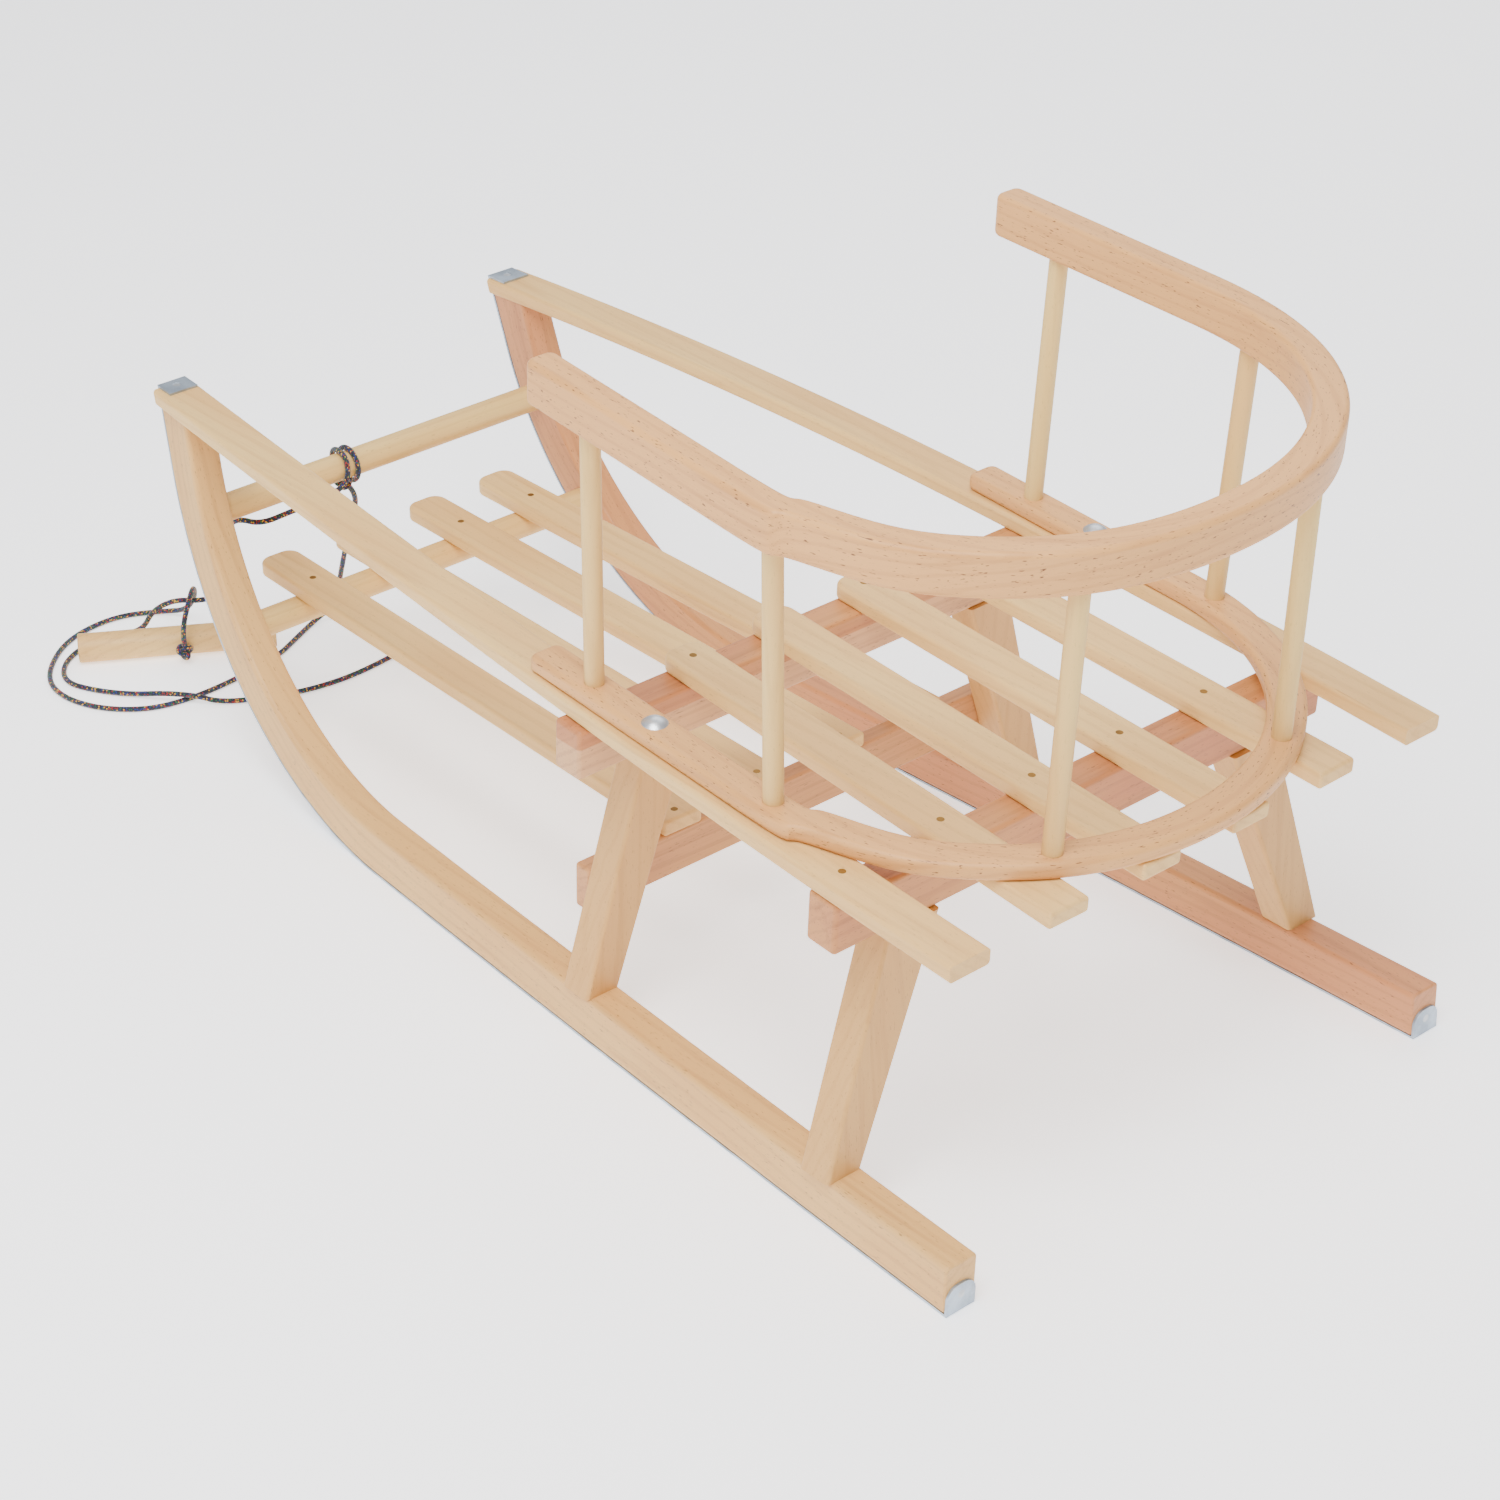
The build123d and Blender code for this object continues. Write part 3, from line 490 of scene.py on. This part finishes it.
def round_the_back(recipe):
    """Hoops: the distance along the arms and round the arc behind the rider."""
    x, y, z = recipe.place()
    centre = (hoop_arc_station - half_sled) * millimetre
    behind = recipe.math("MAXIMUM", centre - y, 0.0)
    side = recipe.math("ABSOLUTE", x)
    reach = recipe.math("SQRT", behind * behind + side * side)
    angle = recipe.math("ARCTAN2", behind, side)
    arm = recipe.math("MAXIMUM", y - centre, 0.0)
    hand = recipe.math("SIGN", x)
    return (arm + (math.pi / 2 - angle) * hoop_arc_radius) * hand, reach, z


# %% [markdown]
# ## Beech
# Beech has a pale, even ground with faint growth lines, broad soft changes of tone and many short dark
# flecks along the grain. A thin clear lacquer lies over it, a little duller in places.

# %% The beech recipe
flecks_along, flecks_across = 210.0, 1150.0


def beech(name, ground, line, fleck, path, seed, fleck_share=0.5, warmth=(206, 150, 82), streak=0.4,
          gloss=0.42, band=None):
    """A beech material. seed moves the figure, so no two boards are alike.

    band, when given, is a height in metres and a colour: below it the wood takes that other, lighter colour.
    """
    recipe = Recipe(name)
    along, across, through = path(recipe)
    shift = seed * 0.731
    long_grain = recipe.vector(along * 1.6 + shift, across * 34.0, through * 34.0)
    lines = recipe.noise(long_grain, 3.0, 5.0, 0.62, 0.25)
    broad = recipe.noise(recipe.vector(along * 3.0 + shift, across * 14.0, through * 14.0), 1.4, 2.0)
    rings = recipe.math("SINE", (across * 0.6 + through * 0.8) * 900.0 + broad * 9.0 + lines * 6.0)
    fibre = recipe.noise(recipe.vector(along * 22.0 + shift, across * 900.0, through * 900.0), 1.0, 3.0, 0.7)
    dash_grain = recipe.vector(
        along * flecks_along + shift * 7, across * flecks_across, through * flecks_across)
    dashes = recipe.noise(dash_grain, 1.0, 1.0)
    fleck_mask = recipe.step(dashes, 0.66, 0.74) * fleck_share
    spots = recipe.noise(recipe.vector(along * 9.0 + shift, across * 9.0, through * 9.0), 1.0, 3.0)

    base = tint(*ground)
    if band:
        low, layer = band
        height_here = recipe.place()[2]
        base = recipe.blend(recipe.step(height_here, low - 0.0006, low + 0.0006), tint(*layer), base)
    colour = recipe.blend(recipe.step(broad, 0.3, 0.72) * 0.5, base, tint(*warmth))
    colour = recipe.blend(recipe.step(lines, 0.5, 0.78) * streak, colour, tint(*line))
    colour = recipe.blend(recipe.step(rings, 0.35, 1.0) * streak * 0.45, colour, tint(*line))
    colour = recipe.blend(recipe.step(fibre, 0.52, 0.8) * 0.22, colour, tint(*line))
    colour = recipe.blend(fleck_mask, colour, tint(*fleck))
    roughness = gloss + lines * 0.10 + spots * 0.12
    height = fibre * 0.5 + lines * 0.3 - fleck_mask * 0.4
    return recipe.finish(colour, roughness, height, 0.00015, Coat_Weight=0.12, Coat_Roughness=0.3,
                         Specular_IOR_Level=0.35)


cream, cream_line, cream_fleck = (226, 186, 116), (178, 126, 64), (116, 70, 34)
pink, pink_line, pink_fleck = (216, 158, 94), (160, 98, 48), (88, 48, 24)
red, red_line, red_fleck = (178, 110, 66), (116, 64, 34), (70, 38, 22)
pale, pale_line, pale_fleck = (224, 190, 116), (190, 146, 78), (144, 98, 48)

wood_of = {
    "side_rail_left": ("rail", cream, cream_line, cream_fleck, lengthways, 0.25),
    "side_rail_right": ("rail", cream, cream_line, cream_fleck, lengthways, 0.25),
    "runner_left": ("runner", (216, 170, 102), (164, 110, 56), (96, 58, 28), round_the_bow, 0.55),
    "runner_right": ("runner", (196, 130, 82), (140, 82, 46), (86, 48, 28), round_the_bow, 0.6),
    "front_crossbar": ("crossbar", red, red_line, red_fleck, crossways, 0.5),
    "rear_crossbar": ("crossbar", red, red_line, red_fleck, crossways, 0.5),
    "foot_crossbar": ("crossbar", (198, 138, 88), red_line, red_fleck, crossways, 0.45),
    "lower_hoop": ("hoop", pink, pink_line, pink_fleck, round_the_back, 0.9),
    "upper_hoop": ("hoop", pink, pink_line, pink_fleck, round_the_back, 0.9),
    "foot_bar": ("dowel", pale, pale_line, pale_fleck, crossways, 0.3),
    "tow_bar": ("dowel", pale, pale_line, pale_fleck, crossways, 0.3),
    "pull_stick": ("dowel", cream, cream_line, cream_fleck, crossways, 0.4),
}
for i in range(1, 5):
    wood_of[f"seat_slat_{i}"] = ("slat", cream, cream_line, cream_fleck, lengthways, 0.3)
    wood_of[f"foot_slat_{i}"] = ("slat", cream, cream_line, cream_fleck, lengthways, 0.3)
for i in range(1, 7):
    wood_of[f"spindle_{i}"] = ("spindle", pale, pale_line, pale_fleck, upright, 0.2)
for side in ("left", "right"):
    for end in ("front", "rear"):
        wood_of[f"{end}_leg_{side}"] = ("leg", (206, 158, 92), cream_line, cream_fleck, upright, 0.35)


# the front crossbar is red in its top 13.5 mm and a paler colour below that height
darker_top_depth = 0.0135
two_tone_bars = {"front_crossbar": (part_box("front_crossbar")[1][2] - darker_top_depth, (204, 156, 112))}


def dress(node, material):
    """Puts a material on a CAD piece through its object's own slots."""
    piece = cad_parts[node]
    for slot in piece.material_slots:
        slot.link = "OBJECT"
        slot.material = material


for number, (node, (kind, ground, line, fleck, path, share)) in enumerate(sorted(wood_of.items())):
    band = two_tone_bars.get(node)
    dress(node, beech(f"{kind}_{node}", ground, line, fleck, path, number + 1, share, band=band))
print("wooden pieces:", len(wood_of))

# %% [markdown]
# ## Metals
# The soles are zinc-coated steel with soft blotches and fine scratches along the run. The bolts are
# bright zinc, the slat screws yellow zinc. Each has its own tone, and their roughness changes over the
# surface.

# %% Metals


def metal(name, tone, dark, roughness, scratch_scale, path=lengthways):
    """Coated steel: blotches, scratches along the piece and a roughness that follows both."""
    recipe = Recipe(name)
    along, across, through = path(recipe)
    blotch = recipe.noise(recipe.vector(along, across, through), 55.0, 4.0, 0.6)
    scratch = recipe.noise(
        recipe.vector(along * 12.0, across * scratch_scale, through * scratch_scale), 1.0, 4.0, 0.7)
    colour = recipe.blend(recipe.step(blotch, 0.35, 0.7) * 0.5, tint(*tone), tint(*dark))
    colour = recipe.blend(recipe.step(scratch, 0.58, 0.75) * 0.35, colour, tint(*dark))
    shine = roughness + blotch * 0.15 + scratch * 0.1
    return recipe.finish(colour, shine, scratch * 0.6 + blotch * 0.4, 0.00008, Metallic=0.9)


zinc = metal("zinc_sole", (176, 188, 200), (104, 114, 126), 0.34, 700.0, round_the_bow)
bright = metal("zinc_bolt", (214, 218, 222), (150, 154, 160), 0.24, 900.0)
yellow = metal("yellow_screw", (150, 110, 48), (84, 56, 24), 0.34, 1500.0)
plain = metal("tin_screw", (190, 194, 198), (112, 116, 120), 0.36, 1500.0)
for node in ("sole_left", "sole_right"):
    dress(node, zinc)
for node in ("carriage_bolts", "bolt_washers", "bolt_nuts"):
    dress(node, bright)
for node in ("slat_screws", "foot_slat_screws"):
    dress(node, yellow)
for node in ("sole_screws", "leg_screws"):
    dress(node, plain)
print("metal pieces: soles, bolts, washers, nuts and screws")

# %% [markdown]
# ## Rope
# The UV map counts turns round the rope and metres along it. Two diagonal families of strands are
# numbered from it, and a random value for each strand's visible stitch picks the colour: mostly navy,
# with red, green, blue and yellow flecks. The grooves between strands are darkened as painted shade.

# %% Rope material


# coloured threads: the random value that each starts from, and its colour
fleck_threads = (
    (0.58, (150, 22, 26)), (0.69, (14, 96, 52)), (0.80, (22, 44, 120)), (0.91, (214, 160, 40)))


def braided_rope():
    """A dark braid with coloured threads and painted shade in the grooves between strands, from the turn and
    the length in the UV map.
    """
    recipe = Recipe("rope_braid")
    spot = recipe.node("ShaderNodeUVMap", {"uv_map": "rope"})
    turn = recipe.node("ShaderNodeSeparateXYZ", None, {0: spot}, "X")
    along = recipe.node("ShaderNodeSeparateXYZ", None, {0: spot}, "Y")
    phase = along / braid_pitch
    right = (turn + phase) * braid_strands
    left = (turn - phase) * braid_strands
    cell = recipe.vector(recipe.math("FLOOR", right), recipe.math("FLOOR", left), 0.0)
    pick = recipe.node("ShaderNodeTexWhiteNoise", {"noise_dimensions": "3D"}, {"Vector": cell})
    other_cell = recipe.vector(recipe.math("FLOOR", left), recipe.math("FLOOR", right), 4.0)
    tone = recipe.node("ShaderNodeTexWhiteNoise", {"noise_dimensions": "3D"}, {"Vector": other_cell})
    edge_right = recipe.math("ABSOLUTE", recipe.math("SINE", right * math.pi))
    edge_left = recipe.math("ABSOLUTE", recipe.math("SINE", left * math.pi))
    ridge = recipe.math("MINIMUM", edge_right, edge_left)
    fuzz = recipe.noise(recipe.vector(turn * 40.0, along * 9000.0, 0.0), 1.0, 3.0, 0.7)
    colour = recipe.blend(tone, tint(8, 12, 26), tint(22, 30, 56))
    for low, shade in fleck_threads:
        colour = recipe.blend(pick > low, colour, tint(*shade))
    # painted shade: the grooves between strands are darkened to near black
    colour = recipe.blend((1.0 - recipe.step(ridge, 0.05, 0.5)) * 0.7, colour, tint(10, 10, 16))
    colour = recipe.blend(recipe.step(fuzz, 0.55, 0.85) * 0.25, colour, tint(150, 152, 160))
    return recipe.finish(colour, 0.72 + fuzz * 0.2, ridge * 0.8 + fuzz * 0.2, 0.0003, Sheen_Weight=0.25)


rope_look = braided_rope()
for piece in (rope_long, rope_short, hitch, stick_knot):
    piece.data.materials.append(rope_look)
print("rope pieces share", rope_look.name)

# %% [markdown]
# ## Floor and light
# The toboggan stands on a wide, nearly white floor. Large soft lamps and a bright even surrounding
# leave only faint shadows, so the small shapes still read.

# %% Floor and light
floor_half = 40.0
floor_glow = 1.1
floor_steps = 8


def make_floor():
    """A flat square sheet with its face up."""
    edge = np.linspace(-floor_half, floor_half, floor_steps + 1)
    verts = [(x, y, -0.0002) for y in edge for x in edge]
    row = floor_steps + 1
    faces = [(j * row + i, j * row + i + 1, (j + 1) * row + i + 1, (j + 1) * row + i)
             for j in range(floor_steps) for i in range(floor_steps)]
    mesh = bpy.data.meshes.new("floor")
    mesh.from_pydata(verts, [], faces)
    made = bpy.data.objects.new("floor", mesh)
    bpy.context.scene.collection.objects.link(made)
    recipe = Recipe("floor_paper")
    x, y, z = recipe.place()
    mottle = recipe.noise(recipe.vector(x, y, z), 3.0, 4.0)
    fine = recipe.noise(recipe.vector(x, y, z), 400.0, 2.0)
    colour = recipe.blend(mottle, tint(250, 250, 251), tint(246, 246, 248))
    made.data.materials.append(recipe.finish(colour, 0.8 + fine * 0.1, fine, 0.00005, Emission_Color=colour,
                                             Emission_Strength=floor_glow))
    return made


def lamp(name, station, size, watts, aim=(0.0, 415.0, 150.0)):
    """A square area lamp that faces a point of the sled."""
    data = bpy.data.lights.new(name, "AREA")
    data.size, data.energy = size, watts
    made = bpy.data.objects.new(name, data)
    bpy.context.scene.collection.objects.link(made)
    made.location = placed(*station)
    made.rotation_mode = "QUATERNION"
    made.rotation_quaternion = (placed(*aim) - made.location).to_track_quat("-Z", "Y")
    return made


world_strength = 0.72
make_floor()
world = bpy.data.worlds.new("studio")
world.use_nodes = True
world.node_tree.nodes["Background"].inputs["Color"].default_value = tint(250, 251, 255)
world.node_tree.nodes["Background"].inputs["Strength"].default_value = world_strength
bpy.context.scene.world = world
lamps = [
    lamp("key", (-900, -300, 2400), 1.5, 100),
    lamp("fill", (1800, 1500, 2200), 2.2, 30),
    lamp("left", (-2300, 900, 1200), 1.6, 16),
]
print("lamps:", len(lamps))
